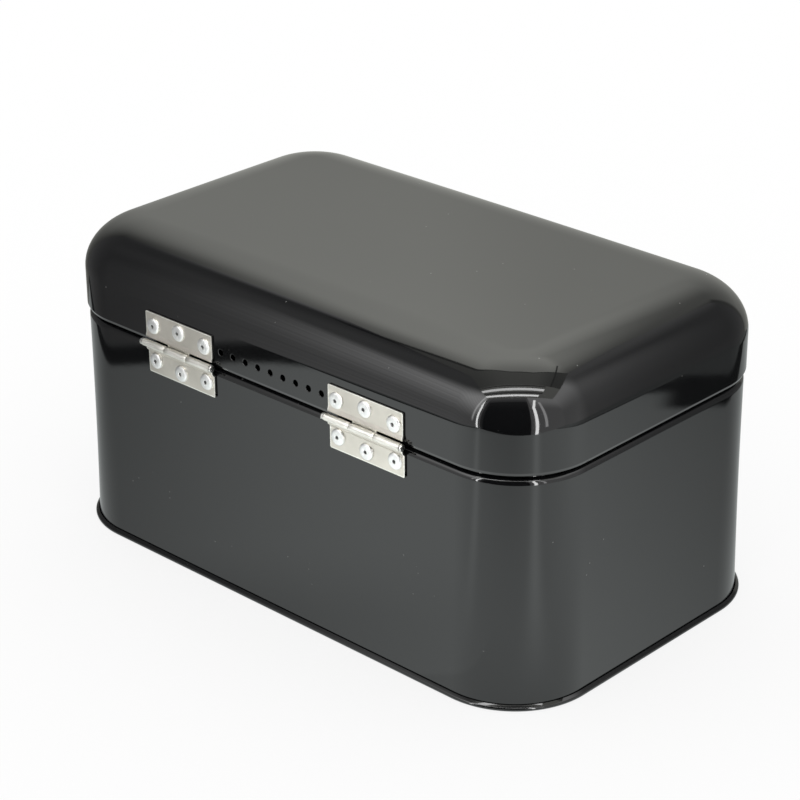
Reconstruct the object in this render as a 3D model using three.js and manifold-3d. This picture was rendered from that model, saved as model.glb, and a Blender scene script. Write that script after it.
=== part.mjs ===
// Bread box of black-enamelled sheet steel. Its deep lid swings back on two riveted butt hinges.
// Millimetres, Z up. X runs along the box, -Y is its plain front and +Y its hinged back.
// Every pressed or rolled piece is one bent sheet: a path for its outer face, thickened inwards.

import * as THREE from 'three';
import { mergeVertices } from 'three/addons/utils/BufferGeometryUtils.js';
import Module from 'manifold-3d';

const wasm = await Module();
wasm.setup();

// Plan of the box and its sheet
const boxLength = 330;
const boxWidth = 194.8;
const cornerRadius = 42.1;
const sheetThickness = 0.5;
const rollBore = 0.4; // inside radius of the rolled, finger-safe edges
const cornerSteps = 10;
const rollSteps = 6;

// Body: wall that flares a little towards its foot, a bead under the lid, a ledge, and a neck that
// the lid slips over
const wallFlare = 1.4;
const flareClear = 2.8; // leaves' free edges down to where the flare begins
const ledgeHeight = 123.2;
const beadHeight = 3.2;
const beadUnderside = 0.9; // height of the slope from the wall out to the bead
const beadRound = 1.2; // height of the bead's rounded top
const beadBehindLid = 0.3; // the bead stays this far inside the lid's face
const neckRise = 6.3;
const beadSteps = 3;

// Base: a dished pan whose rim is rolled over a flange at the body's foot
const seamOverhang = 3.6;
const seamRound = 1.2;
const seamPlay = 0.3; // between the folded layers
const seamSlant = (55 / 180) * Math.PI; // the rolled rim's lean back to the wall
const panelRise = 4.4; // floor to the underside of the dished panel
const seamSteps = 5;

// Lid: upright skirt, elliptical shoulder, slightly crowned top
const lidOverhang = 1;
const lidEdgeProud = 0.5; // the rolled edge stands out from the skirt
const lidSeatGap = 2; // rolled edge to ledge
const neckPlay = 0.9; // rolled edge to neck
const skirtHeight = 21.4;
const shoulderRun = 34.7;
const shoulderRise = 27.2;
const crownRise = 1.4;
const shoulderSteps = 7;
const topShares = [2 / 3, 1 / 3, 0]; // rings of the top, from the shoulder to its middle

// Vents: a row of round holes in the back of the lid, between the hinges
const ventCount = 9;
const ventPitch = 8.9;
const ventRadius = 1.7;
const ventRise = 9.5; // above the lid's rolled edge

// Hinges: nickel-plated butt hinges, rolled knuckles on a headed pin
const hingeOffset = 65.8; // middle of the box to the middle of each hinge
const leafLength = 49.6;
const leafReach = 17.25; // axis to the leaf's free edge
const leafThickness = 0.9;
const leafCorner = 0.9;
const leafCornerSteps = 3;
const hingeDrop = 0.15; // lid's rolled edge down to the hinge's axis
const pinRadius = 0.8;
const pinPlay = 0.3;
const knuckleCount = 3;
const knuckleGap = 0.3;
const curlGap = 0.3; // free edge of the knuckle to its own leaf
const joggleStart = 3.6; // axis to where a leaf steps in to the sheet that it is riveted to
const joggleEnd = 5.2;
const pinHeadRadius = 1.85;
const factoryHeadLength = 2;
const peenedHeadLength = 1.2;
const pinHeadGap = 0.3;
const halfRollSteps = 8;
const closingRollSteps = 5;

// Blind rivets: three to a leaf, the middle one nearest its free edge
const rivetEdge = 5.8; // leaf's edges to the nearest rivets' centres
const rivetStagger = 1.5;
const rivetRadius = 2;
const rivetHoleGap = 0.3;
const rivetHeadRadius = 4.4;
const rivetHeadHeight = 1.3;
const rivetHeadEdge = 0.35;
const mandrelRadius = 1.1;
const mandrelDepth = 1;
const tailRadius = 3;
const tailLength = 4;
const rivetSides = 12;
const domeShares = [0.9, 0.7, 0.45]; // of the way from the mandrel hole to the head's rim

const holeSides = 16;
const cutOverrun = 1;
const weldDistance = 1e-4;

// Sizes that follow
const halfLength = boxLength / 2;
const halfWidth = boxWidth / 2;
const rollRadius = sheetThickness + rollBore;
const beadProud = lidOverhang - beadBehindLid;
const neckInset = 2 * rollRadius - lidOverhang - lidEdgeProud + neckPlay;
const neckTop = ledgeHeight + neckRise;
const lidEdge = ledgeHeight + lidSeatGap;
const shoulderBase = lidEdge + skirtHeight;
const shoulderTop = shoulderBase + shoulderRise;
const knuckleRadius = pinRadius + pinPlay + leafThickness;
const hingeY = halfWidth + lidOverhang + lidEdgeProud + knuckleRadius;
const hingeZ = lidEdge - hingeDrop;
const flareTop = hingeZ - leafReach - flareClear;
const knuckleLength = leafLength / knuckleCount;
const grip = leafThickness + sheetThickness;
const rivetSpread = leafLength / 2 - rivetEdge;
const rivetRow = leafReach - rivetEdge;
const rivetPlaces = [
  [-rivetSpread, rivetRow - rivetStagger],
  [0, rivetRow],
  [rivetSpread, rivetRow - rivetStagger],
];

const enamel = new THREE.MeshStandardMaterial({ color: 0x101112, roughness: 0.18, metalness: 0 });
const nickel = new THREE.MeshStandardMaterial({ color: 0xc8c4b8, roughness: 0.3, metalness: 1 });
const steel = new THREE.MeshStandardMaterial({ color: 0xb9b7b0, roughness: 0.35, metalness: 1 });
const aluminium = new THREE.MeshStandardMaterial({ color: 0xdcdcd8, roughness: 0.35, metalness: 1 });

// Points on an arc round [cx, cy], from one angle to another, both ends included
function arc(cx, cy, radiusX, radiusY, from, to, steps) {
  const points = [];
  for (let i = 0; i <= steps; i += 1) {
    const angle = from + ((to - from) * i) / steps;
    points.push([cx + radiusX * Math.cos(angle), cy + radiusY * Math.sin(angle)]);
  }
  return points;
}

// Closed section of a bent sheet: its path, then the same path moved over to its left
function sheetSection(path, thickness) {
  const points = path.filter((point, i) => {
    const next = path[i + 1];
    return !next || Math.hypot(next[0] - point[0], next[1] - point[1]) > weldDistance;
  });
  const normals = points.slice(1).map((point, i) => {
    const run = [point[0] - points[i][0], point[1] - points[i][1]];
    const length = Math.hypot(run[0], run[1]);
    return [-run[1] / length, run[0] / length];
  });
  const moved = points.map((point, i) => {
    const before = normals[Math.max(i - 1, 0)];
    const after = normals[Math.min(i, normals.length - 1)];
    const mitre = thickness / (1 + before[0] * after[0] + before[1] * after[1]);
    return [point[0] + mitre * (before[0] + after[0]), point[1] + mitre * (before[1] + after[1])];
  });
  return points.concat(moved.reverse());
}

// Outline of the box at a distance outside its wall's face. It keeps parallel to the wall as far
// in as the lid's shoulder goes, and closes in on the middle from there.
function outlineRing(out, up) {
  const inset = Math.max(out, -shoulderRun);
  const spread = (halfWidth + out) / (halfWidth + inset);
  const radius = cornerRadius + inset;
  const points = [];
  for (let corner = 0; corner < 4; corner += 1) {
    const signX = corner === 0 || corner === 3 ? 1 : -1;
    const signY = corner < 2 ? 1 : -1;
    const from = (corner * Math.PI) / 2;
    const centreX = signX * (halfLength - cornerRadius);
    const centreY = signY * (halfWidth - cornerRadius);
    arc(centreX, centreY, radius, radius, from, from + Math.PI / 2, cornerSteps).forEach(([x, y]) => {
      points.push([x * spread, y * spread, up]);
    });
  }
  return points;
}

// Merge a geometry's corners, drop its collapsed triangles and turn its faces outwards
function weld(geometry) {
  geometry.deleteAttribute('normal');
  geometry.deleteAttribute('uv');
  const merged = mergeVertices(geometry, weldDistance);
  const corners = merged.getIndex().array;
  const kept = [];
  let volume = 0;
  const [a, b, c] = [new THREE.Vector3(), new THREE.Vector3(), new THREE.Vector3()];
  for (let i = 0; i < corners.length; i += 3) {
    const face = [corners[i], corners[i + 1], corners[i + 2]];
    if (new Set(face).size === 3) {
      [a, b, c].forEach((vertex, k) => vertex.fromBufferAttribute(merged.attributes.position, face[k]));
      volume += a.dot(b.cross(c));
      kept.push(...face);
    }
  }
  merged.setIndex(volume < 0 ? kept.reverse() : kept);
  return merged;
}

// Solid of a pressing: its section carried round the outline of the box, then raised by a crown
function pressing(section, crown = () => 0) {
  const rings = section.map(([out, up]) =>
    outlineRing(out, up).map(([x, y, z]) => [x, y, z + crown(x, y, z)]));
  const around = rings[0].length;
  const faces = [];
  rings.forEach((ring, i) => {
    const next = (i + 1) % rings.length;
    for (let j = 0; j < around; j += 1) {
      const beside = (j + 1) % around;
      const [p, q, r, s] = [i * around + j, i * around + beside, next * around + beside, next * around + j];
      faces.push(p, q, r, p, r, s);
    }
  });
  const geometry = new THREE.BufferGeometry();
  geometry.setAttribute('position', new THREE.Float32BufferAttribute(rings.flat(2), 3));
  geometry.setIndex(faces);
  return weld(geometry);
}

// Solid of a section drawn in the Y-Z plane and carried along X, centred on zero
function extrudeAlongX(section, length) {
  const shape = new THREE.Shape(section.map(([y, z]) => new THREE.Vector2(y, z)));
  const geometry = new THREE.ExtrudeGeometry(shape, { depth: length, bevelEnabled: false });
  geometry.translate(0, 0, -length / 2);
  const axes = new THREE.Matrix4().makeBasis(
    new THREE.Vector3(0, 1, 0),
    new THREE.Vector3(0, 0, 1),
    new THREE.Vector3(1, 0, 0),
  );
  return weld(geometry.applyMatrix4(axes));
}

function toManifold(geometry) {
  return new wasm.Manifold(new wasm.Mesh({
    numProp: 3,
    vertProperties: new Float32Array(geometry.attributes.position.array),
    triVerts: Uint32Array.from(geometry.getIndex().array),
  }));
}

function fromManifold(manifold) {
  const mesh = manifold.getMesh();
  const geometry = new THREE.BufferGeometry();
  geometry.setAttribute('position', new THREE.BufferAttribute(mesh.vertProperties, 3));
  geometry.setIndex(Array.from(mesh.triVerts));
  return geometry;
}

// Cutter for a round hole through a sheet that faces the back
function backHole(radius, x, y, z) {
  const depth = 2 * (leafThickness + sheetThickness + lidOverhang + cutOverrun);
  const cutter = new THREE.CylinderGeometry(radius, radius, depth, holeSides);
  return toManifold(weld(cutter.translate(x, y, z)));
}

function cut(solid, cutters) {
  return cutters.reduce((left, cutter) => left.subtract(cutter), solid);
}

function piece(name, geometry, material) {
  geometry.computeVertexNormals();
  const mesh = new THREE.Mesh(geometry, material);
  mesh.name = name;
  return mesh;
}

// Holes for one side's rivets in a box or lid wall, at both hinges. side is 1 up, -1 down.
function rivetWallHoles(side, wallY) {
  return [-hingeOffset, hingeOffset].flatMap((hingeX) =>
    rivetPlaces.map(([x, z]) => backHole(rivetRadius + rivetHoleGap, hingeX + x, wallY, hingeZ + side * z)));
}

// Body wall: flange for the base seam, flared foot, wall, bead, ledge, neck, inward roll
function bodyWall() {
  const flangeTop = 2 * sheetThickness + seamPlay;
  const flareMiddle = (flangeTop + flareTop) / 2;
  const beadFoot = ledgeHeight - beadHeight;
  const rollCentre = [-neckInset - rollRadius, neckTop - rollRadius];
  const path = [
    [seamOverhang - seamRound, flangeTop],
    [wallFlare, flangeTop],
    [wallFlare / 4, flareMiddle],
    [0, flareTop],
    [0, beadFoot],
    [beadProud, beadFoot + beadUnderside],
    ...arc(0, ledgeHeight - beadRound, beadProud, beadRound, 0, Math.PI / 2, beadSteps),
    [-neckInset, ledgeHeight],
    ...arc(...rollCentre, rollRadius, rollRadius, 0, 1.6 * Math.PI, rollSteps),
  ];
  const wall = toManifold(pressing(sheetSection(path, sheetThickness)));
  return piece('body_wall', fromManifold(cut(wall, rivetWallHoles(-1, halfWidth))), enamel);
}

// Base pan: dished panel, a wall inside the body, then the rim rolled over the body's flange and
// slanted back to the wall
function basePan() {
  const innerFace = wallFlare - 2 * (sheetThickness + seamPlay);
  const rollOut = seamOverhang - seamRound;
  const rollEnd = [rollOut + seamRound * Math.cos(seamSlant), seamRound * (1 + Math.sin(seamSlant))];
  const rimEnd = wallFlare + 2 * seamPlay;
  const path = [
    [-halfWidth, panelRise],
    [innerFace, panelRise],
    [innerFace, 0],
    ...arc(rollOut, seamRound, seamRound, seamRound, -Math.PI / 2, seamSlant, seamSteps),
    [rimEnd, rollEnd[1] + (rollEnd[0] - rimEnd) / Math.tan(seamSlant)],
  ];
  return piece('base_pan', pressing(sheetSection(path, sheetThickness)), enamel);
}

// Crown of the lid above its skirt: nothing at the outline, all of its rise in the middle
function lidCrown(x, y, z) {
  const shareX = x / (halfLength + lidOverhang);
  const shareY = y / (halfWidth + lidOverhang);
  return z > shoulderBase ? crownRise * (1 - shareX * shareX) * (1 - shareY * shareY) : 0;
}

// Lid: inward roll at its edge, skirt, elliptical shoulder, crowned top, with the vents cut in
function lid() {
  const rollCentre = [lidOverhang + lidEdgeProud - rollRadius, lidEdge + rollRadius];
  const rollMeetsSkirt = 2 * Math.PI + Math.acos(1 - lidEdgeProud / rollRadius);
  const shoulderRunOut = lidOverhang + shoulderRun;
  const topHalf = halfWidth - shoulderRun;
  const top = topShares.map((share) => [share * topHalf - halfWidth, shoulderTop]);
  const path = [
    ...arc(...rollCentre, rollRadius, rollRadius, 0.4 * Math.PI, rollMeetsSkirt, rollSteps + 1),
    ...arc(-shoulderRun, shoulderBase, shoulderRunOut, shoulderRise, 0, Math.PI / 2, shoulderSteps),
    ...top,
  ];
  const skirtY = halfWidth + lidOverhang;
  const vents = Array.from({ length: ventCount }, (_, i) => {
    const x = (i - (ventCount - 1) / 2) * ventPitch;
    return backHole(ventRadius, x, skirtY, lidEdge + ventRise);
  });
  const shell = toManifold(pressing(sheetSection(path, sheetThickness), lidCrown));
  return piece('lid', fromManifold(cut(shell, [...vents, ...rivetWallHoles(1, skirtY)])), enamel);
}

// Hinge leaf about its own axis, lying up the back. step is how far it sits in from the knuckle's
// back, and side is 1 for the lid's leaf and -1 for the box's.
function leaf(name, side, step) {
  const back = -knuckleRadius;
  const closing = Math.acos((back + leafThickness + curlGap) / knuckleRadius);
  const path = [
    [back - step, leafReach],
    [back - step, joggleEnd],
    [back, joggleStart],
    ...arc(0, 0, knuckleRadius, knuckleRadius, Math.PI, 2 * Math.PI, halfRollSteps),
    ...arc(0, 0, knuckleRadius, knuckleRadius, 2 * Math.PI, 2 * Math.PI + closing, closingRollSteps),
  ];
  const section = sheetSection(path, leafThickness).map(([y, z]) => [y, side * z]);
  const bar = toManifold(extrudeAlongX(section, leafLength));

  // Blank with two rounded corners at the free edge
  const halfLeaf = leafLength / 2;
  const underRoll = -knuckleRadius - cutOverrun;
  const cornerX = halfLeaf - leafCorner;
  const cornerZ = leafReach - leafCorner;
  const outline = new THREE.Shape([
    [-halfLeaf - cutOverrun, underRoll],
    [halfLeaf + cutOverrun, underRoll],
    [halfLeaf + cutOverrun, cornerZ],
    ...arc(cornerX, cornerZ, leafCorner, leafCorner, 0, Math.PI / 2, leafCornerSteps),
    ...arc(-cornerX, cornerZ, leafCorner, leafCorner, Math.PI / 2, Math.PI, leafCornerSteps),
    [-halfLeaf - cutOverrun, cornerZ],
  ].map(([x, z]) => new THREE.Vector2(x, side * z)));
  const blankDepth = 4 * (knuckleRadius + lidOverhang + lidEdgeProud);
  const blankGeometry = new THREE.ExtrudeGeometry(outline, { depth: blankDepth, bevelEnabled: false });
  blankGeometry.translate(0, 0, -blankDepth / 2).rotateX(Math.PI / 2);
  const blank = toManifold(weld(blankGeometry));

  // Notches where the other leaf's knuckles turn: the lid's leaf keeps the middle knuckle
  const notchHeight = 2 * (knuckleRadius + knuckleGap);
  const notchDepth = 2 * (knuckleRadius + cutOverrun);
  const middleNotch = knuckleLength + knuckleGap;
  const notchLength = side < 0 ? middleNotch : knuckleLength + knuckleGap / 2 + cutOverrun;
  const notchCentre = side < 0 ? 0 : knuckleLength / 2 - knuckleGap / 2 + notchLength / 2;
  const notchPlaces = side < 0 ? [0] : [-notchCentre, notchCentre];
  const notches = notchPlaces.map((x) => {
    const box = new THREE.BoxGeometry(notchLength, notchDepth, notchHeight);
    return toManifold(weld(box.translate(x, 0, 0)));
  });

  const plateY = back - step + leafThickness / 2;
  const holes = rivetPlaces.map(([x, z]) => backHole(rivetRadius + rivetHoleGap, x, plateY, side * z));
  return piece(name, fromManifold(cut(bar.intersect(blank), [...notches, ...holes])), nickel);
}

// Hinge pin along X, with a longer factory head at one end and a peened head at the other
function pin(name) {
  const half = leafLength / 2 + pinHeadGap;
  const profile = [
    [0, -half - peenedHeadLength],
    [pinRadius, -half - peenedHeadLength],
    [pinHeadRadius, -half - peenedHeadLength / 2],
    [pinHeadRadius, -half],
    [pinRadius, -half],
    [pinRadius, half],
    [pinHeadRadius, half],
    [pinHeadRadius, half + factoryHeadLength / 2],
    [pinRadius, half + factoryHeadLength],
    [0, half + factoryHeadLength],
  ].map(([radius, along]) => new THREE.Vector2(radius, along));
  const mesh = piece(name, weld(new THREE.LatheGeometry(profile, rivetSides)), steel);
  mesh.rotation.z = -Math.PI / 2;
  return mesh;
}

// Set blind rivet about Y: domed head, snapped mandrel in its hole, shank, and bulged tail
function rivet(name) {
  const domeRise = rivetHeadHeight - rivetHeadEdge;
  const domeRun = rivetHeadRadius - mandrelRadius;
  const dome = domeShares.map((share) => [
    mandrelRadius + domeRun * share,
    rivetHeadEdge + domeRise * Math.sqrt(1 - share * share),
  ]);
  const profile = [
    [0, -grip - tailLength],
    [mandrelRadius, -grip - tailLength],
    [tailRadius, -grip - tailLength / 2],
    [tailRadius, -grip],
    [rivetRadius, -grip],
    [rivetRadius, 0],
    [rivetHeadRadius, 0],
    [rivetHeadRadius, rivetHeadEdge],
    ...dome,
    [mandrelRadius, rivetHeadHeight],
    [mandrelRadius, rivetHeadHeight - mandrelDepth],
    [0, rivetHeadHeight - mandrelDepth],
  ].map(([radius, along]) => new THREE.Vector2(radius, along));
  return piece(name, weld(new THREE.LatheGeometry(profile, rivetSides)), aluminium);
}

// One half of a hinge with its rivets, in a group whose origin is on the hinge's axis
function hingeHalf(place, x, side) {
  const owner = side > 0 ? 'lid' : 'box';
  const step = side > 0 ? lidEdgeProud : lidOverhang + lidEdgeProud;
  const half = new THREE.Group();
  half.position.set(x, hingeY, hingeZ);
  half.add(leaf(`${place}_hinge_${owner}_leaf`, side, step));
  rivetPlaces.forEach(([rivetX, rivetZ], i) => {
    const mesh = rivet(`${place}_hinge_${owner}_rivet_${i + 1}`);
    mesh.position.set(rivetX, leafThickness - knuckleRadius - step, side * rivetZ);
    half.add(mesh);
  });
  return half;
}

const box = new THREE.Group();
box.add(bodyWall(), basePan());
const lidSide = new THREE.Group();
lidSide.add(lid());
[['left', -hingeOffset], ['right', hingeOffset]].forEach(([place, x]) => {
  const boxHalf = hingeHalf(place, x, -1);
  boxHalf.add(pin(`${place}_hinge_pin`));
  box.add(boxHalf);
  lidSide.add(hingeHalf(place, x, 1));
});

// The hinges stand out further behind than the seam does in front. The origin is in the middle.
const breadBox = new THREE.Group();
breadBox.add(box, lidSide);
const frontReach = halfWidth + seamOverhang;
const backReach = Math.max(hingeY + knuckleRadius, frontReach);
breadBox.position.y = (frontReach - backReach) / 2;

export default breadBox;
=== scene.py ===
import math

import bmesh
import bpy
import numpy as np
from mathutils import Matrix, Vector


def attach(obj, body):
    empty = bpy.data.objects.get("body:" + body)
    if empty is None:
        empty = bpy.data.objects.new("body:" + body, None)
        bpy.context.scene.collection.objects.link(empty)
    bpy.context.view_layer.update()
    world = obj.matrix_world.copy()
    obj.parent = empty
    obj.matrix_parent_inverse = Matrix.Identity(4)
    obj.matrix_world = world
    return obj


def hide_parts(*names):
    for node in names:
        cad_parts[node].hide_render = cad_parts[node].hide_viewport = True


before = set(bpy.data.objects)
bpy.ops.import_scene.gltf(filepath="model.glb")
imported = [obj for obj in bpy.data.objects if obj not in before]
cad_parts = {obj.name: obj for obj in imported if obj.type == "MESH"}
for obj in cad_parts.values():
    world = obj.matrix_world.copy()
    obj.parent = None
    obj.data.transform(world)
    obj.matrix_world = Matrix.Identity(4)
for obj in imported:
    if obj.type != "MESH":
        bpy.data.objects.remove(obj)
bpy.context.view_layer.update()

# Camera: a long lens a metre and a third away, above the hinged back and one round corner,
# tilted by less than half a degree as the photograph is.
camera_azimuth = math.radians(223.45)
camera_height = math.radians(25.41)
camera_roll = math.radians(-0.39)
camera_place = (-0.8188, 0.86888, 0.65296)
camera = bpy.data.objects.new("camera", bpy.data.cameras.new("camera"))
camera.data.lens = 113.09
camera.data.sensor_width = 36
bpy.context.scene.collection.objects.link(camera)
bpy.context.scene.camera = camera
away = Vector((
    math.sin(camera_azimuth) * math.cos(camera_height),
    -math.cos(camera_azimuth) * math.cos(camera_height),
    math.sin(camera_height),
))
level = Vector((0, 0, 1)).cross(away).normalized()
right = level * math.cos(camera_roll) + away.cross(level) * math.sin(camera_roll)
turn = Matrix((right, away.cross(right), away)).transposed()
camera.matrix_world = Matrix.Translation(camera_place) @ turn.to_4x4()


# Body wall: one sheet of steel bent round into a tube with round corners, black-enamelled. It
# flares a little to a flange at its foot. A round shoulder turns it in under the lid, and above
# its ledge a neck ends in a safe inward roll.
# Sizes are in millimetres. Sections are drawn as (out from the wall's face, up from the floor).
half_length = 165
half_width = 97.4
corner_radius = 42.1
box_forward = -0.95  # the hinges stand out further behind than the base's rim does in front
sheet = 0.5
wall_flare = 1.4
flare_top = 105
flange_out = 2.4
flange_top = 1.3
ledge_height = 123.2
ledge_round = 3.05
neck_inset = 3.3
neck_top = 129.5
roll_radius = 0.9
corner_steps = 24
side_step = 10
corner_guard = 1.5  # a row of points this close to each corner keeps the sides flat
plan_points = []
plan_facings = []
corner_starts = []
for quarter, (sign_x, sign_y) in enumerate([(1, 1), (-1, 1), (-1, -1), (1, -1)]):
    corner_starts.append(len(plan_points))
    for step in range(corner_steps + 1):
        angle = (quarter + step / corner_steps) * math.pi / 2
        facing = np.array([math.cos(angle), math.sin(angle)])
        centre = [sign_x * (half_length - corner_radius), sign_y * (half_width - corner_radius)]
        plan_points.append(centre + corner_radius * facing)
        plan_facings.append(facing)
    straight = 2 * ((half_width if quarter % 2 else half_length) - corner_radius)
    along = np.array([-plan_facings[-1][1], plan_facings[-1][0]])
    corner_end = plan_points[-1]
    middle_stops = np.linspace(side_step, straight - side_step, round(straight / side_step) - 1)
    for distance in [corner_guard, *middle_stops, straight - corner_guard]:
        plan_points.append(corner_end + distance * along)
        plan_facings.append(plan_facings[-1])
plan_points = np.array(plan_points)
plan_facings = np.array(plan_facings)


def arc(out, up, radius_out, radius_up, start, end, steps):
    angles = np.linspace(start, end, steps + 1)
    return [(out + radius_out * math.cos(a), up + radius_up * math.sin(a)) for a in angles]


def bend(before, corner, after, radius, steps):
    """The rounded corner that a fold of this radius leaves between two straight runs."""
    corner = np.array(corner, float)
    to_before = np.array(before) - corner
    to_after = np.array(after) - corner
    to_before /= np.linalg.norm(to_before)
    to_after /= np.linalg.norm(to_after)
    half_angle = math.acos(float(np.clip(to_before @ to_after, -1, 1))) / 2
    middle = to_before + to_after
    centre = corner + middle / np.linalg.norm(middle) * radius / math.sin(half_angle)
    first = corner + to_before * radius / math.tan(half_angle) - centre
    last = corner + to_after * radius / math.tan(half_angle) - centre
    sweep = math.pi - 2 * half_angle
    shares = np.linspace(0, 1, steps + 1)
    spokes = [first * math.sin((1 - s) * sweep) + last * math.sin(s * sweep) for s in shares]
    return [tuple(centre + spoke / math.sin(sweep)) for spoke in spokes]


def divided(path, longest=10, edge=0.4):
    """A path with its long straight runs cut up, closely at their ends so that they shade flat."""
    points = [path[0]]
    for before, after in zip(path, path[1:]):
        run = math.dist(before, after)
        if run < 1e-6:
            continue
        stops = [1]
        if run > 6 * edge:
            middle_stops = np.linspace(0, 1, math.ceil(run / longest) + 1)[1:-1]
            stops = [edge / run, *middle_stops, 1 - edge / run, 1]
        points += [tuple(np.array(before) + (np.array(after) - before) * stop) for stop in stops]
    return points


def other_face(path, thickness):
    """The same path moved over to its left by the sheet's thickness."""
    points = np.array(path)
    runs = np.diff(points, axis=0)
    facings = np.stack([-runs[:, 1], runs[:, 0]], 1) / np.linalg.norm(runs, axis=1)[:, None]
    before = np.concatenate([facings[:1], facings])
    after = np.concatenate([facings, facings[-1:]])
    mitre = thickness / (1 + (before * after).sum(1))
    return points + mitre[:, None] * (before + after)


def filled_across(ring):
    """The inner points and the faces of a grid that fills a ring of the plan. Its four sides run
    from corner to corner, and its inner points are numbered after the ring's own."""
    around = len(ring)
    corners = [start + corner_steps // 2 for start in corner_starts]
    ends = [*corners[1:], corners[0] + around]
    spans = [np.arange(start, end + 1) % around for start, end in zip(corners, ends)]
    back, end = spans[0], spans[1]
    front, far = spans[2][::-1], spans[3][::-1]
    shares = []
    for span in (back, end):
        runs = np.linalg.norm(np.diff(ring[span], axis=0), axis=1)
        lengths = np.concatenate([[0], np.cumsum(runs)])
        shares.append(lengths / lengths[-1])
    grid = np.full((len(back), len(end)), -1)
    grid[:, 0], grid[-1, :], grid[:, -1], grid[0, :] = back, end, front, far
    inside = []
    for i, u in enumerate(shares[0][1:-1], 1):
        for j, v in enumerate(shares[1][1:-1], 1):
            across = (1 - v) * ring[back[i]] + v * ring[front[i]]
            along = (1 - u) * ring[far[j]] + u * ring[end[j]]
            nearer = (1 - u) * ring[back[0]] + u * ring[back[-1]]
            further = (1 - u) * ring[front[0]] + u * ring[front[-1]]
            grid[i, j] = around + len(inside)
            inside.append(across + along - (1 - v) * nearer - v * further)
    squares = [grid[:-1, :-1], grid[1:, :-1], grid[1:, 1:], grid[:-1, 1:]]
    return inside, np.stack(squares, axis=-1).reshape(-1, 4)


def carried_round(section, closed, crown=None):
    """Points and faces of a section carried round the plan, with its open ends filled across."""
    around = len(plan_points)
    rings = [
        np.column_stack([plan_points + out * plan_facings, np.full(around, up)])
        for out, up in section
    ]
    points = np.concatenate(rings)
    faces = []
    for i in range(len(rings) if closed else len(rings) - 1):
        here, there = i * around, (i + 1) % len(rings) * around
        for j in range(around):
            k = (j + 1) % around
            faces.append((here + j, here + k, there + k, there + j))
    for ring in [] if closed else [0, len(rings) - 1]:
        inside, grid_faces = filled_across(rings[ring])
        on_ring = grid_faces < around
        faces += np.where(on_ring, grid_faces + ring * around, grid_faces - around + len(points)).tolist()
        points = np.concatenate([points, inside])
    if crown:
        points[:, 2] += crown(*points.T)
    return points, faces


fold_angle = math.radians(35)  # folds sharper than this shade as edges


def make_piece(name, points, faces, finish):
    """A piece of the object from points in millimetres about the middle of the box."""
    mesh = bpy.data.meshes.new(name)
    placed = (np.array(points) + [0, box_forward, 0]) / 1000
    mesh.from_pydata(placed.tolist(), [], [[int(k) for k in face] for face in faces])
    shape = bmesh.new()
    shape.from_mesh(mesh)
    bmesh.ops.remove_doubles(shape, verts=shape.verts, dist=1e-7)
    bmesh.ops.delete(shape, geom=[v for v in shape.verts if not v.link_faces], context="VERTS")
    bmesh.ops.recalc_face_normals(shape, faces=shape.faces)
    shape.to_mesh(mesh)
    shape.free()
    mesh.shade_smooth()
    mesh.set_sharp_from_angle(angle=fold_angle)
    mesh.materials.append(finish)
    piece = bpy.data.objects.new(name, mesh)
    bpy.context.scene.collection.objects.link(piece)
    return piece


def keep_modifiers(piece):
    """Works a piece's modifiers into its mesh."""
    shown = piece.evaluated_get(bpy.context.evaluated_depsgraph_get())
    piece.data = bpy.data.meshes.new_from_object(shown)
    piece.modifiers.clear()
    piece.data.name = piece.name
    piece.data.set_sharp_from_angle(angle=fold_angle)


def turned(profile, steps):
    """Points and faces of a part turned about Y: the profile is (radius, along)."""
    angles = np.linspace(0, 2 * math.pi, steps, endpoint=False)
    points = [(r * math.sin(a), along, r * math.cos(a)) for r, along in profile for a in angles]
    faces = []
    for i in range(len(profile) - 1):
        for j in range(steps):
            k = (j + 1) % steps
            faces.append((i * steps + j, i * steps + k, (i + 1) * steps + k, (i + 1) * steps + j))
    return points, faces


def punch(piece, profile, places):
    """Punches holes of a turned profile through the back of a piece, at (x, y, z) places."""
    points, faces = turned(profile, 40)
    all_points = np.concatenate([np.array(points) + place for place in places])
    all_faces = [[k + n * len(points) for k in face] for n in range(len(places)) for face in faces]
    cutter = make_piece("punch", all_points, all_faces, enamel)
    holes = piece.modifiers.new("holes", "BOOLEAN")
    holes.operation = "DIFFERENCE"
    holes.solver = "EXACT"
    holes.object = cutter
    keep_modifiers(piece)
    bpy.data.objects.remove(cutter)
    piece.modifiers.new("shading", "WEIGHTED_NORMAL").keep_sharp = True
    keep_modifiers(piece)


def fill(material, node, sockets):
    """Fills in a node's sockets. A socket's value may be another node's output."""
    for name, value in sockets.items():
        if isinstance(value, bpy.types.NodeSocket):
            material.node_tree.links.new(value, node.inputs[name])
        else:
            node.inputs[name].default_value = value


def shader(material, kind, sockets=None, **settings):
    """A new shader node, with its settings and sockets filled in."""
    node = material.node_tree.nodes.new("ShaderNode" + kind)
    for name, value in settings.items():
        setattr(node, name, value)
    fill(material, node, sockets or {})
    return node


def new_finish(name):
    """A plain material, and the object's own coordinates in metres that its textures are laid by."""
    material = bpy.data.materials.new(name)
    material.use_nodes = True
    return material, shader(material, "TexCoord").outputs["Object"]


def set_surface(material, sockets):
    fill(material, material.node_tree.nodes["Principled BSDF"], sockets)


def between(material, amount, low, high, start=0.3, end=0.7):
    """A number that goes from low to high as a texture's value goes from start to end."""
    return shader(material, "MapRange", {
        "Value": amount, "From Min": start, "From Max": end, "To Min": low, "To Max": high,
    }).outputs["Result"]


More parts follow.
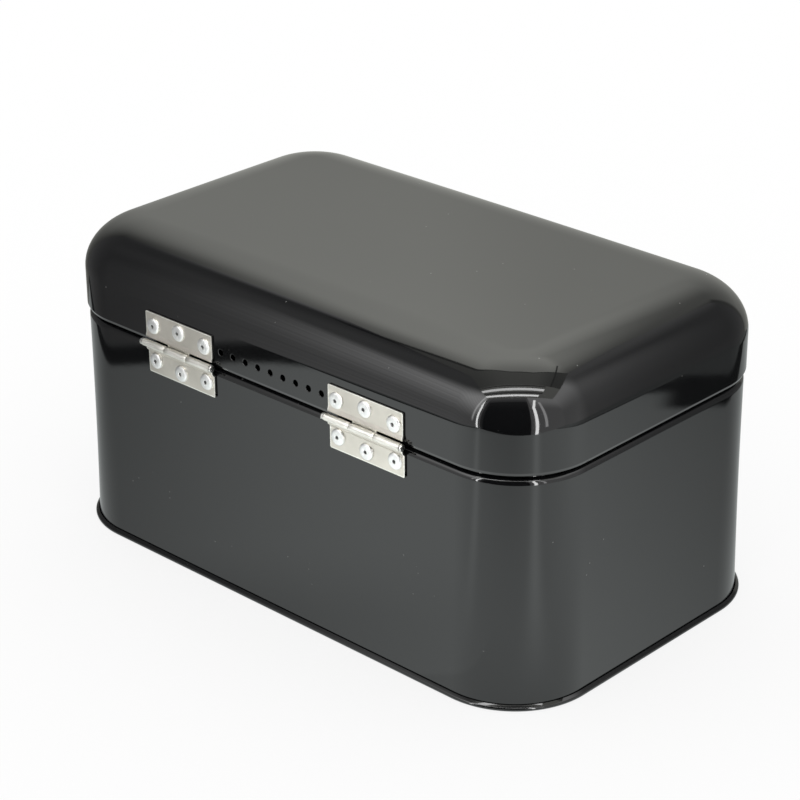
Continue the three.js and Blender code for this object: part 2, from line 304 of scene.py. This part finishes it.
def two_tone(material, amount, first, second, start=0, end=1):
    """A colour that goes from the first to the second as a texture's value goes from start to end."""
    ramp = shader(material, "ValToRGB", {"Fac": amount})
    for stop, position, colour in zip(ramp.color_ramp.elements, (start, end), (first, second)):
        stop.position = position
        stop.color = (*colour, 1)
    return ramp.outputs["Color"]


def noise(material, place, scale, detail=2, roughness=0.5):
    return shader(material, "TexNoise", {
        "Vector": place, "Scale": scale, "Detail": detail, "Roughness": roughness,
    }).outputs["Fac"]


# The enamel's black is a little uneven and smudged, with a few specks of dust. Its gloss has the
# fine peel of a sprayed and baked coat, over the slow waves of the sheet.
enamel, place = new_finish("black_enamel")
clouds = noise(enamel, place, 14, 4)
smudges = noise(enamel, place, 45, 6, 0.62)
black = two_tone(enamel, clouds, (0.005, 0.0052, 0.0058), (0.0068, 0.007, 0.0075), 0.3, 0.7)
dust = shader(enamel, "TexVoronoi", {"Vector": place, "Scale": 150}).outputs["Distance"]
dust_here = noise(enamel, place, 38, 1)
specks = shader(enamel, "Math", {
    0: between(enamel, dust, 1, 0, 0.04, 0.07), 1: between(enamel, dust_here, 0, 1, 0.6, 0.64),
}, operation="MULTIPLY").outputs["Value"]
first_colour, second_colour, mixed_colour = 6, 7, 2  # the numbers of a colour mix's sockets
dusty = shader(enamel, "Mix", {
    "Factor": specks, first_colour: black, second_colour: (0.16, 0.16, 0.155, 1),
}, data_type="RGBA").outputs[mixed_colour]
peel = shader(enamel, "Bump", {
    "Height": noise(enamel, place, 420, 1), "Strength": 0.12, "Distance": 0.00002,
}).outputs["Normal"]
waves = shader(enamel, "Bump", {
    "Height": noise(enamel, place, 22, 1), "Strength": 0.5, "Distance": 0.00012, "Normal": peel,
}).outputs["Normal"]
set_surface(enamel, {
    "Base Color": dusty, "Roughness": between(enamel, smudges, 0.035, 0.065), "IOR": 1.5, "Normal": waves,
})

roll_out, roll_up = -neck_inset - roll_radius, neck_top - roll_radius
flare = [
    (wall_flare * share ** 2, flare_top - share * (flare_top - flange_top))
    for share in np.linspace(1, 0, 20)
]
wall_path = divided([
    (flange_out, flange_top),
    *bend((flange_out, flange_top), flare[0], flare[1], 0.3, 4),
    *flare[1:],
    *arc(-ledge_round, ledge_height - ledge_round, ledge_round, ledge_round, 0, math.pi / 2, 24),
    *bend((0, ledge_height), (-neck_inset, ledge_height), (-neck_inset, roll_up), 0.25, 4),
    *arc(roll_out, roll_up, roll_radius, roll_radius, 0, 1.6 * math.pi, 26),
])
section = [*wall_path, *other_face(wall_path, sheet)[::-1]]
body = make_piece("body_sheet", *carried_round(section, closed=True), enamel)

hinge_height = 125.05
hinge_offset = 65.8
hinges = (("left", -hinge_offset), ("right", hinge_offset))
rivet_places = [(-19, 9.95), (0, 11.45), (19, 9.95)]  # along and away from each hinge's axis
rivet_hole_radius = 2.3
punch_reach = 6  # through the sheet and clear of it on both sides
rivet_punch = [
    (0, -punch_reach),
    (rivet_hole_radius, -punch_reach),
    (rivet_hole_radius, punch_reach),
    (0, punch_reach),
]


def rivet_holes(side, y):
    """Places of the rivets' holes, up the lid (side 1) or down the wall (side -1)."""
    return [(hinge_x + x, y, hinge_height + side * z) for _, hinge_x in hinges for x, z in rivet_places]


punch(body, rivet_punch, rivet_holes(-1, half_width))
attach(body, "box")
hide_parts("body_wall")

# Base pan: a dished pressing of the same enamelled sheet. Its rim comes down inside the wall,
# turns out under the foot, and is rolled over the wall's flange and slanted back to the wall.
dish_height = 4.4
dish_inset = 34.7  # from the wall to the flat middle of the dish
pan_side = -0.2
rim_radius = 1.2
rim_end = (1.9, 3.02)
pan_path = divided([
    (-dish_inset, dish_height),
    *bend((-dish_inset, dish_height), (pan_side, dish_height), (pan_side, 0), 0.5, 5),
    *bend((pan_side, dish_height), (pan_side, 0), (flange_out, 0), 0.75, 6),
    *arc(flange_out, rim_radius, rim_radius, rim_radius, -math.pi / 2, math.radians(55), 24),
    rim_end,
])
section = [*pan_path, *other_face(pan_path, sheet)[::-1]]
base = make_piece("base_sheet", *carried_round(section, closed=False), enamel)
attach(base, "box")
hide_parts("base_pan")

# Lid: one deep pressing of the enamelled sheet, upright skirt, elliptical shoulder and a top that
# crowns very slightly. The edge is turned under and rolled inwards. Nine vents are punched in
# the back of the skirt.
lid_face = 1
lid_edge = 125.2
edge_radius = 0.75
edge_inset = 0.38  # of the roll's centre
edge_slant = 0.436  # radians, of the turned edge above the roll
edge_turn = 1.93  # height of the fold that turns the skirt under
skirt_top = 146.6
shoulder_run = 34.7
shoulder_rise = 27.2
crown_rise = 1.4
vent_radius = 1.7
vent_lip = 0.3
vent_spacing = 8.9
vent_height = 9.5
roll_end = 2 * math.pi - edge_slant
edge_roll = arc(-edge_inset, lid_edge + edge_radius, edge_radius, edge_radius, 0.4 * math.pi, roll_end, 32)
lid_path = divided([
    *edge_roll,
    *bend(edge_roll[-1], (lid_face, lid_edge + edge_turn), (lid_face, skirt_top), 0.5, 5),
    *arc(-shoulder_run, skirt_top, shoulder_run + lid_face, shoulder_rise, 0, math.pi / 2, 40),
])
section = [*lid_path[::-1], *other_face(lid_path, sheet)]


def lid_crown(x, y, z):
    fall = (1 - (x / (half_length + lid_face)) ** 2) * (1 - (y / (half_width + lid_face)) ** 2)
    return np.where(z > skirt_top, crown_rise * fall, 0)


lid = make_piece("lid_pressing", *carried_round(section, closed=False, crown=lid_crown), enamel)
vents = [(i * vent_spacing, half_width + lid_face, lid_edge + vent_height) for i in range(-4, 5)]
vent_mouth = vent_radius + vent_lip
vent_punch = [
    (0, -punch_reach),
    (vent_radius, -punch_reach),
    *arc(vent_mouth, -vent_lip, vent_lip, vent_lip, math.pi, math.pi / 2, 4),
    (vent_mouth, punch_reach / 2),
    (0, punch_reach / 2),
]
punch(lid, vent_punch, vents)
punch(lid, rivet_punch, rivet_holes(1, half_width))
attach(lid, "lid")
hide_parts("lid")

# Hinge leaves: nickel-plated strip, blanked with notches and rolled into knuckles round the pin.
# Both are joggled in from the knuckles, the box's leaf to the wall and the lid's to the skirt.
# The box's leaf keeps the two end knuckles, and the lid's the middle one.
leaf_length = 49.6
leaf_reach = 17.25
leaf_thickness = 0.9
leaf_corner = 0.9
# width of the rim strip that takes the lighter nickel, a painted highlight
highlit_rim = 0.6
knuckle_radius = 2
knuckle_gap = 0.3
knuckle_length = leaf_length / 3
knuckle_clear = 0.5  # between the skirt's face and the knuckles' backs
knuckle_closing = 0.75  # between a knuckle's rolled end and its leaf
joggle_start, joggle_end = 3.6, 5.2  # away from the hinge's axis
notch_foot = knuckle_radius + knuckle_gap + 0.5
hinge_out = half_width + lid_face + knuckle_clear + knuckle_radius


def lengthways(material, place, stretch):
    """Coordinates that draw a texture out along the strip or wire, as rolling or drawing it does."""
    return shader(material, "Mapping", {"Vector": place, "Scale": (stretch, 1, 1)}).outputs["Vector"]


nickel, place = new_finish("nickel_plate")
streaks = noise(nickel, lengthways(nickel, place, 0.06), 2600, 3, 0.6)
tarnish = noise(nickel, place, 60, 3)
brushed = shader(nickel, "Bump", {"Height": streaks, "Strength": 0.25, "Distance": 0.00001})
set_surface(nickel, {
    "Base Color": two_tone(nickel, tarnish, (0.57, 0.54, 0.485), (0.7, 0.665, 0.6), 0.3, 0.7),
    "Metallic": 1,
    "Roughness": between(nickel, streaks, 0.32, 0.42),
    "Normal": brushed.outputs["Normal"],
})

# The plating is rubbed bright on the knuckles. Round the rims the same lighter nickel is a painted
# highlight, and the cut sides are painted near black as painted shade.
rubbed_and_highlit, place = new_finish("rubbed_and_highlit_nickel")
lines = noise(rubbed_and_highlit, lengthways(rubbed_and_highlit, place, 0.05), 1800, 3, 0.7)
set_surface(rubbed_and_highlit, {
    "Base Color": two_tone(rubbed_and_highlit, lines, (0.66, 0.64, 0.58), (0.9, 0.885, 0.83), 0.35, 0.6),
    "Metallic": 1,
    "Roughness": between(rubbed_and_highlit, lines, 0.3, 0.42),
})

# Cut sides: steel painted near black, a painted shade that outlines each leaf
shaded_cut_steel, place = new_finish("shaded_cut_steel")
grit = noise(shaded_cut_steel, place, 900, 3)
set_surface(shaded_cut_steel, {
    "Base Color": two_tone(shaded_cut_steel, grit, (0.03, 0.029, 0.028), (0.09, 0.086, 0.08)),
    "Metallic": 0.8,
    "Roughness": 0.55,
})


def hinge_leaf(name, hinge_x, side):
    """A hinge leaf that lies up the lid (side 1) or down the wall (side -1)."""
    back = -knuckle_radius
    in_step = back - knuckle_clear - (0 if side > 0 else lid_face)
    plate_path = [
        (in_step, leaf_reach),
        (in_step, leaf_reach - highlit_rim),
        *bend((in_step, leaf_reach), (in_step, joggle_end), (back, joggle_start), 1.1, 5),
        *bend((in_step, joggle_end), (back, joggle_start), (back, 0), 0.9, 5),
        (back, notch_foot),
        (back, 0),
    ]
    closing = math.acos((back + leaf_thickness + knuckle_closing) / knuckle_radius)
    rolled = arc(0, 0, knuckle_radius, knuckle_radius, math.pi, 2 * math.pi + closing, 40)
    path = divided([*plate_path, *rolled], longest=4, edge=0.3)
    inner = other_face(path, leaf_thickness)
    notch_row = min(range(len(path)), key=lambda i: abs(path[i][1] - notch_foot))

    # Columns across the leaf, closer at its rounded corners and on the sides of the notches
    half_leaf = leaf_length / 2
    notch = knuckle_length / 2 + (-1 if side > 0 else 1) * knuckle_gap / 2
    turn_in = [half_leaf - leaf_corner * (1 - math.sin(a)) for a in np.linspace(0, math.pi / 2, 6)]
    positive = [*np.linspace(notch, turn_in[0], 6), *turn_in[1:]]
    columns = [*[-x for x in positive[::-1]], *np.linspace(-notch, notch, 7)[1:-1], *positive]

    points = []
    for x in columns:
        over = max(abs(x) - (half_leaf - leaf_corner), 0)
        drop = leaf_corner - math.sqrt(max(leaf_corner ** 2 - over ** 2, 0))
        for row, (face, other) in enumerate(zip(path, inner)):
            down = drop if row == 0 else 0
            points.append((hinge_x + x, hinge_out + face[0], hinge_height + side * (face[1] - down)))
            points.append((hinge_x + x, hinge_out + other[0], hinge_height + side * (other[1] - down)))
    rows = len(path)

    def kept(i, j):
        if not (0 <= i < len(columns) - 1 and 0 <= j < rows - 1):
            return False
        in_middle = abs(columns[i] + columns[i + 1]) / 2 < notch
        return j < notch_row or in_middle == (side > 0)

    faces = []
    for i in range(len(columns) - 1):
        for j in range(rows - 1):
            if not kept(i, j):
                continue
            corners = ((i, j), (i + 1, j), (i + 1, j + 1), (i, j + 1))
            a, b, c, d = [2 * (m * rows + n) for m, n in corners]
            faces += [(a, b, c, d), (a + 1, d + 1, c + 1, b + 1)]
            beside = ((i, j - 1), (i + 1, j), (i, j + 1), (i - 1, j))
            for neighbour, p, q in zip(beside, (a, b, c, d), (b, c, d, a)):
                if not kept(*neighbour):
                    faces.append((p, p + 1, q + 1, q))
    piece = make_piece(name, points, faces, nickel)
    piece.data.materials.append(rubbed_and_highlit)
    piece.data.materials.append(shaded_cut_steel)
    use_rubbed_and_highlit, use_shaded_cut_steel = 1, 2
    axis = Vector((hinge_x, hinge_out + box_forward, hinge_height))
    # Knuckles and rims get the lighter nickel, the rims as a painted highlight, and the cut sides the
    # near-black steel as painted shade
    for face in piece.data.polygons:
        from_axis = face.center * 1000 - axis
        on_knuckle = math.hypot(from_axis.y, from_axis.z) < knuckle_radius + 0.02
        cut_side = abs(face.normal.y) < 0.35
        at_rim = abs(from_axis.x) > half_leaf - highlit_rim or abs(from_axis.z) > leaf_reach - highlit_rim
        if on_knuckle or (at_rim and not cut_side):
            face.material_index = use_rubbed_and_highlit
        elif cut_side:
            face.material_index = use_shaded_cut_steel
    # The bevels take the lighter nickel too, a painted highlight along every edge
    edges = piece.modifiers.new("edges", "BEVEL")
    edges.material = use_rubbed_and_highlit
    edges.width = 0.0002
    edges.segments = 3
    edges.limit_method = "ANGLE"
    edges.angle_limit = math.radians(40)
    edges.harden_normals = True
    keep_modifiers(piece)
    return piece


for end_name, hinge_x in hinges:
    for owner, side in (("box", -1), ("lid", 1)):
        piece = hinge_leaf(f"{end_name}_{owner}_leaf_plate", hinge_x, side)
        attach(piece, owner)
        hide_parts(f"{end_name}_hinge_{owner}_leaf")

# Hinge pins: bright steel wire. The factory head stands out at the far end, and the near end is
# peened over when the two leaves are put together.
pin_radius = 0.8
pin_head = 1.85
pin_edge = 0.1
pin_head_height = 2
pin_head_round = 0.6
peen_height = 1.2
peen_round = 0.5
pin_half = leaf_length / 2 + 0.3
pin_profile = [
    (0, -pin_half - peen_height),
    (0.9, -pin_half - peen_height + 0.05),
    *arc(pin_head - peen_round, -pin_half - 0.6, peen_round, peen_round, -math.pi / 2, 0, 6),
    (pin_head, -pin_half - pin_edge),
    (pin_head - pin_edge, -pin_half),
    (pin_radius, -pin_half),
    (pin_radius, pin_half),
    (pin_head - pin_edge, pin_half),
    (pin_head, pin_half + pin_edge),
    *arc(pin_head - pin_head_round, pin_half + pin_head_height - pin_head_round,
         pin_head_round, pin_head_round, 0, math.pi / 2, 6),
    (0, pin_half + pin_head_height),
]
bright_steel, place = new_finish("bright_steel")
drawn = noise(bright_steel, lengthways(bright_steel, place, 0.1), 3000, 2)
cloudy = noise(bright_steel, place, 300, 2)
set_surface(bright_steel, {
    "Base Color": two_tone(bright_steel, cloudy, (0.55, 0.54, 0.51), (0.72, 0.71, 0.68)),
    "Metallic": 1,
    "Roughness": between(bright_steel, drawn, 0.22, 0.34),
})
for end_name, hinge_x in hinges:
    points, faces = turned(pin_profile, 32)
    along_x = [(hinge_x + y, hinge_out + x, hinge_height + z) for x, y, z in points]
    piece = make_piece(f"{end_name}_pin_wire", along_x, faces, bright_steel)
    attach(piece, "box")
    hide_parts(f"{end_name}_hinge_pin")

# Blind rivets: aluminium, domed heads outside and pulled tails inside. Each keeps the snapped
# end of its steel mandrel at the bottom of the hole in its head, painted near black: a painted
# shade for the hole.
rivet_grip = leaf_thickness + sheet
head_radius = 4.4
head_height = 1.3
head_edge = 0.35
shank_radius = 2
tail_length = 4
tail_radius = 3
tail_bulge = 1.8
tail_shoulder = 0.8
mandrel_radius = 1
mandrel_hole = 0.25
dome_flatness = 0.62
dome_run = head_radius - 0.1 - mandrel_radius
dome = [
    (mandrel_radius + dome_run * math.cos(a) ** dome_flatness,
     head_edge + (head_height - head_edge) * math.sin(a) ** dome_flatness)
    for a in np.linspace(0.08, math.pi / 2 - 0.06, 18)
]
rivet_profile = [
    (0, -rivet_grip - tail_length),
    (0.9, -rivet_grip - tail_length),
    (1.2, -rivet_grip - tail_length + 0.1),
    *arc(tail_radius - tail_bulge, -rivet_grip - 2.2, tail_bulge, 1.7, -math.pi / 2 + 0.2, 0, 8),
    *arc(tail_radius - tail_shoulder, -rivet_grip - tail_shoulder, tail_shoulder, tail_shoulder,
         0, math.pi / 2, 6),
    (shank_radius, -rivet_grip),
    (shank_radius, 0),
    (head_radius - 0.05, 0),
    (head_radius, 0.08),
    (head_radius, head_edge - 0.05),
    *dome,
    *arc(mandrel_radius + 0.15, head_height - 0.15, 0.15, 0.15, math.pi / 2, math.pi, 4),
    (mandrel_radius, mandrel_hole),
    (0, mandrel_hole),
]
mandrel_profile = [(0, 0.2), (0.9, 0.2), (0.9, 0.45), (0.75, 0.55), (0.5, 0.5), (0.25, 0.62), (0, 0.66)]

aluminium, place = new_finish("rivet_aluminium")
dull = noise(aluminium, place, 500, 3)
scuffs = noise(aluminium, place, 900, 2)
set_surface(aluminium, {
    "Base Color": two_tone(aluminium, dull, (0.74, 0.74, 0.73), (0.88, 0.88, 0.87), 0.3, 0.7),
    "Metallic": 1,
    "Roughness": between(aluminium, scuffs, 0.3, 0.45),
})
# The mandrel's steel is painted near black, painted shade in the head's hole
shaded_mandrel_steel, place = new_finish("shaded_mandrel_steel")
broken = noise(shaded_mandrel_steel, place, 1500, 2)
set_surface(shaded_mandrel_steel, {
    "Base Color": two_tone(shaded_mandrel_steel, broken, (0.03, 0.03, 0.03), (0.12, 0.115, 0.11)),
    "Metallic": 0.7,
    "Roughness": 0.6,
})
for end_name, hinge_x in hinges:
    for owner, side in (("box", -1), ("lid", 1)):
        leaf_face = half_width + leaf_thickness + (lid_face if side > 0 else 0)
        for number, (rivet_x, rivet_z) in enumerate(rivet_places, 1):
            centre = np.array([hinge_x + rivet_x, leaf_face, hinge_height + side * rivet_z])
            points, faces = turned(rivet_profile, 40)
            rivet = make_piece(f"{end_name}_{owner}_rivet_{number}", points + centre, faces, aluminium)
            points, faces = turned(mandrel_profile, 16)
            mandrel_name = f"{end_name}_{owner}_mandrel_{number}"
            mandrel = make_piece(mandrel_name, points + centre, faces, shaded_mandrel_steel)
            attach(rivet, owner)
            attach(mandrel, owner)
            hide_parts(f"{end_name}_hinge_{owner}_rivet_{number}")

# Floor: a sheet of white paper under the box, twelve metres each way. It is white to the camera
# and in reflections, and keeps the box's own soft shadow.
paper_reach = 6
paper_matt = 0.2
floor_mesh = bpy.data.meshes.new("floor")
paper_corners = [(x * paper_reach, y * paper_reach, 0) for x, y in ((-1, -1), (1, -1), (1, 1), (-1, 1))]
floor_mesh.from_pydata(paper_corners, [], [(0, 1, 2, 3)])
floor = bpy.data.objects.new("floor", floor_mesh)
bpy.context.scene.collection.objects.link(floor)
paper = bpy.data.materials.new("white_paper")
paper.use_nodes = True
paper.node_tree.nodes.clear()
ray = shader(paper, "LightPath").outputs
matt = shader(paper, "BsdfDiffuse", {"Color": (paper_matt, paper_matt, paper_matt, 1)})
seen = shader(paper, "Math", {0: ray["Is Camera Ray"], 1: ray["Is Glossy Ray"]}, operation="MAXIMUM")
seen = shader(paper, "Math", {0: seen.outputs[0], 1: ray["Is Transmission Ray"]}, operation="MAXIMUM")
lifted = shader(paper, "Math", {0: seen.outputs[0], 1: 1 - paper_matt}, operation="MULTIPLY")
glow = shader(paper, "Emission", {"Color": (1, 1, 1, 1), "Strength": lifted.outputs[0]})
both = shader(paper, "AddShader", {0: matt.outputs[0], 1: glow.outputs[0]})
shader(paper, "OutputMaterial", {"Surface": both.outputs[0]})
floor_mesh.materials.append(paper)

# Daylight: an even white from all sides, which lights the box and is the pale background too.
# In reflections the light tent below stands before it.
world = bpy.data.worlds.new("daylight")
bpy.context.scene.world = world
world.use_nodes = True
world.node_tree.nodes.clear()
even = shader(world, "Background", {"Color": (1, 1, 1, 1), "Strength": 1})
shader(world, "OutputWorld", {"Surface": even.outputs[0]})

# Light tent: the small white photo tent that the glossy enamel and the metal mirror. It is a cloth
# box round the object, open at its front, with bright strips round the opening and overhead.
# Only reflections see it. Places are (back, right, up) in metres, as seen from the opening.
tent_front, tent_back, tent_left, tent_right, tent_top = -0.5, 0.3, -0.41, 0.61, 0.8
tent_turn = math.radians(43.45)
tent_axes = np.array([
    [math.sin(tent_turn), -math.cos(tent_turn), 0],
    [-math.cos(tent_turn), -math.sin(tent_turn), 0],
    [0, 0, 1],
])


def tent_cloth(name, colour):
    """Glowing cloth, as bright at each place as the panel's own glow values say."""
    cloth = bpy.data.materials.new(name)
    cloth.use_nodes = True
    cloth.node_tree.nodes.clear()
    glow = shader(cloth, "Attribute", attribute_name="glow").outputs["Fac"]
    glow = shader(cloth, "Emission", {"Color": colour, "Strength": glow})
    shader(cloth, "OutputMaterial", {"Surface": glow.outputs[0]})
    cloth.cycles.emission_sampling = "NONE"
    return cloth


warm_cloth = tent_cloth("warm_cloth", (0.99, 1, 0.93, 1))
white_cloth = tent_cloth("white_cloth", (1, 1, 1, 1))
cool_cloth = tent_cloth("cool_cloth", (0.96, 1.01, 1, 1))


def tent_panel(name, corner, across, up, cloth, glow, step=0.004):
    """A flat panel from a corner and two edges, with glow(back, right, up) worked out every few
    millimetres."""
    corner, across, up = [np.array(edge, float) for edge in (corner, across, up)]
    columns, rows = [max(round(np.linalg.norm(edge) / step), 1) + 1 for edge in (across, up)]
    u, v = np.meshgrid(np.linspace(0, 1, columns), np.linspace(0, 1, rows))
    places = corner + u.reshape(-1, 1) * across + v.reshape(-1, 1) * up
    first = (np.arange(rows - 1)[:, None] * columns + np.arange(columns - 1)).reshape(-1, 1)
    mesh = bpy.data.meshes.new(name)
    mesh.from_pydata((places @ tent_axes).tolist(), [], (first + [0, 1, columns + 1, columns]).tolist())
    values = mesh.attributes.new("glow", "FLOAT", "POINT")
    values.data.foreach_set("value", np.broadcast_to(glow(*places.T), len(places)).astype(np.float32))
    mesh.materials.append(cloth)
    panel = bpy.data.objects.new(name, mesh)
    bpy.context.scene.collection.objects.link(panel)
    for kind in ("camera", "diffuse", "transmission", "volume_scatter", "shadow"):
        setattr(panel, f"visible_{kind}", False)


def rise(value, start, end):
    """0 up to the start and 1 from the end, smoothly."""
    share = np.clip((value - start) / (end - start), 0, 1)
    return share * share * (3 - 2 * share)


def within(distance, half):
    """1 in a band this far to either side, with edges soft enough for the panels' own fineness."""
    return 1 - rise(abs(distance), half - 0.004, half + 0.004)


def faded(first, second, share):
    return first + (second - first) * share


def back_wall(back, right, up):
    # The cloth sweeps down from the lamps into the floor, and darkens towards its sides and foot
    middle = np.minimum(0.5 + 2.1 * rise(up, 0.05, 0.78), 2.5)
    middle = middle * (1 - 0.14 * rise(right, 0, 0.12) * rise(-up, -0.45, -0.36))
    far_left = 0.17 + 0.95 * rise(up, 0.5, 0.75)
    left_turn = -0.16 + 0.22 * (1 - rise(up, 0.08, 0.3))
    left_part = faded(far_left, middle, rise(right, -0.44, left_turn))
    right_turn = 0.27 + np.maximum(up - 0.58, 0)
    right_part = faded(middle, np.minimum(0.62, middle), rise(right, right_turn - 0.17, right_turn + 0.17))
    edge = 0.5 + 0.8 * np.maximum(up - 0.6, 0)
    return faded(np.where(right > 0.08, right_part, left_part), 0.22, rise(right, edge, edge + 0.07))


def left_wall(back, right, up):
    # Folded cloth, lit at its front half, with one lamp's tube standing before it
    bright = 0.95 + 2.5 * rise(up, 0.15, 0.55)
    nearer = 0.8 * np.maximum(up - 0.47, 0)
    lamp = 4 * np.exp(-((back + 0.44) / 0.012) ** 2) * rise(up, 0.1, 0.2)
    shade = 0.2 + 0.2 * rise(up, 0.3, 0.5) * (1 - rise(back, 0.05, 0.2))
    shade = shade * (1 - 0.8 * within(back - 0.2, 0.02) * rise(up, 0.71, 0.73))
    folds = 1 + 0.14 * np.sin(150 * up + 5 * np.sin(11 * back)) * np.sin(37 * up + 13 * back)
    lit = (bright - 0.2) * (1 - rise(back, -0.24 - nearer, 0.08 - nearer)) * folds
    return shade + lit + 0.9 * rise(back, 0.22, 0.3) * rise(up, 0.5, 0.75) + lamp


def right_wall(back, right, up):
    # Lit towards the front, the more the higher it is
    bright = 0.95 + 1.4 * rise(up, 0.3, 0.75)
    shift = 0.16 * rise(up, 0.1, 0.6) - 0.04
    front_part = 1 - rise(back, -0.25 + shift, shift)
    return faded(0.25, bright, front_part) + 0.35 * rise(up, 0.55, 0.75) * rise(back, -0.05, 0.1)


def front_wall(back, right, up):
    # The room shows dark through the opening
    cloth_glow = np.where(right < 0.17, 0.9, 1.05 + 1.2 * rise(up, 0.4, 0.7))
    lintel = 0.35 + 0.4 * rise(up, 0.62, 0.75)
    room = np.where(right < -0.29, 0.2, 0.02 + 0.06 * rise(up, 0.4, 0.6))
    doorway = (right > -0.33) & (right < 0.15)
    return np.where(doorway, np.where(up < 0.62, room, lintel), cloth_glow)


def ceiling(back, right, up):
    # Grey cloth in front, the back wall's bright cloth behind, and a dark seam where they meet
    seam = np.interp(right, [-0.41, -0.3, 0, 0.2, 0.6], [0.225, 0.205, 0.06, 0.045, 0.2])
    sweep = back_wall(back, right, up) * (0.8 + 0.2 * rise(back, 0.05, 0.3))
    grey = np.where(right > 0.42, 0.4, 0.5 + 0.3 * rise(right, -0.4, 0) * (1 - rise(right, 0.2, 0.42)))
    glow = faded(grey, sweep, rise(back - seam, -0.003, 0.005))
    dark_half = 0.006 + 0.009 * rise(-right, 0.15, 0.3)
    glow = faded(glow, 0.15, within(back - seam + dark_half, dark_half))
    glow = faded(glow, 0.2, within(right - 0.43, 0.01))
    return np.where(back < -0.2, 1.2, glow)


def tent_floor(back, right, up):
    # The paper is lit in front of the box, and mirrors the upright strips as two bright streaks.
    # It ends in dark edges at both sides, and its right edge turns up behind the box.
    nearer = np.where(right > 0, 0.03, -0.05 * rise(-right, 0.05, 0.15))
    lit = 0.52 + 0.9 * (1 - rise(back + nearer, -0.22, 0.05))
    lit = lit - 0.4 * rise(-back, 0.25, 0.5) * (1 - rise(right, 0, 0.2))
    for line, amount in ((back + 0.14, 0.45), (0.14 - 0.385 * (back + 0.35), 0.6)):
        lit = lit + amount * np.exp(-((right - line) / 0.025) ** 2) * (1 - rise(back, -0.3, -0.15))
    bare = 0.22 + 0.6 * (1 - rise(back, -0.4, -0.02))
    left_edge = -0.39 + 0.04 * rise(-back, 0.05, 0.2)
    glow = np.where((right > left_edge) & (right < 0.42), lit, bare)
    turned_up = within(right - 0.421, 0.023) * rise(back - 0.3 * (right - 0.42), -0.066, -0.05)
    edges = np.maximum(within(right - 0.43, 0.006), within(right - left_edge, 0.014))
    return faded(glow, 0.03, np.maximum(turned_up, edges))


deep = (tent_back - tent_front, 0, 0)
wide = (0, tent_right - tent_left, 0)
tall = (0, 0, tent_top)
over_paper = 0.0002
tent_panel("tent_back", (tent_back, tent_left, 0), wide, tall, warm_cloth, back_wall)
tent_panel("tent_left", (tent_front, tent_left, 0), deep, tall, white_cloth, left_wall)
tent_panel("tent_right", (tent_front, tent_right, 0), deep, tall, white_cloth, right_wall)
tent_panel("tent_front", (tent_front, tent_left, 0), wide, tall, white_cloth, front_wall)
tent_panel("tent_ceiling", (tent_front, tent_left, tent_top), deep, wide, warm_cloth, ceiling)
tent_panel("tent_floor", (tent_front, tent_left, over_paper), deep, wide, cool_cloth, tent_floor)

tent_strips = [
    # Corner, edge along, edge across and brightness. First two lamps overhead, each with a dark
    # strip beside it
    ((-0.32, -0.45, 0.79), (0, 0.81, 0), (0.05, 0, 0), 10),
    ((-0.385, -0.46, 0.79), (0, 0.82, 0), (0.03, 0, 0), 0.3),
    ((-0.46, -0.46, 0.79), (0, 0.78, 0), (0.045, 0, 0), 14),
    ((-0.227, -0.45, 0.79), (0, 0.81, 0), (0.015, 0, 0), 0.05),
    # Strips up both sides of the opening, each leaning out at its top
    ((-0.49, -0.397, 0), (0, 0, 0.45), (0, 0.035, 0), 16),
    ((-0.49, -0.397, 0.45), (0, -0.06, 0.35), (0, 0.035, 0), 16),
    ((-0.49, 0.18, 0), (0, 0, 0.45), (0, 0.028, 0), 16),
    ((-0.49, 0.18, 0.45), (0, 0.05, 0.22), (0, 0.028, 0), 16),
    # A fainter one further to the right
    ((-0.49, 0.27, 0.1), (0, 0, 0.5), (0, 0.03, 0), 4.5),
]
for number, (corner, along, across, bright) in enumerate(tent_strips, 1):
    tent_panel(f"tent_strip_{number}", corner, along, across, white_cloth, lambda *place: bright, step=1)

# Colours are shown as they are written.
bpy.context.scene.view_settings.view_transform = "Standard"
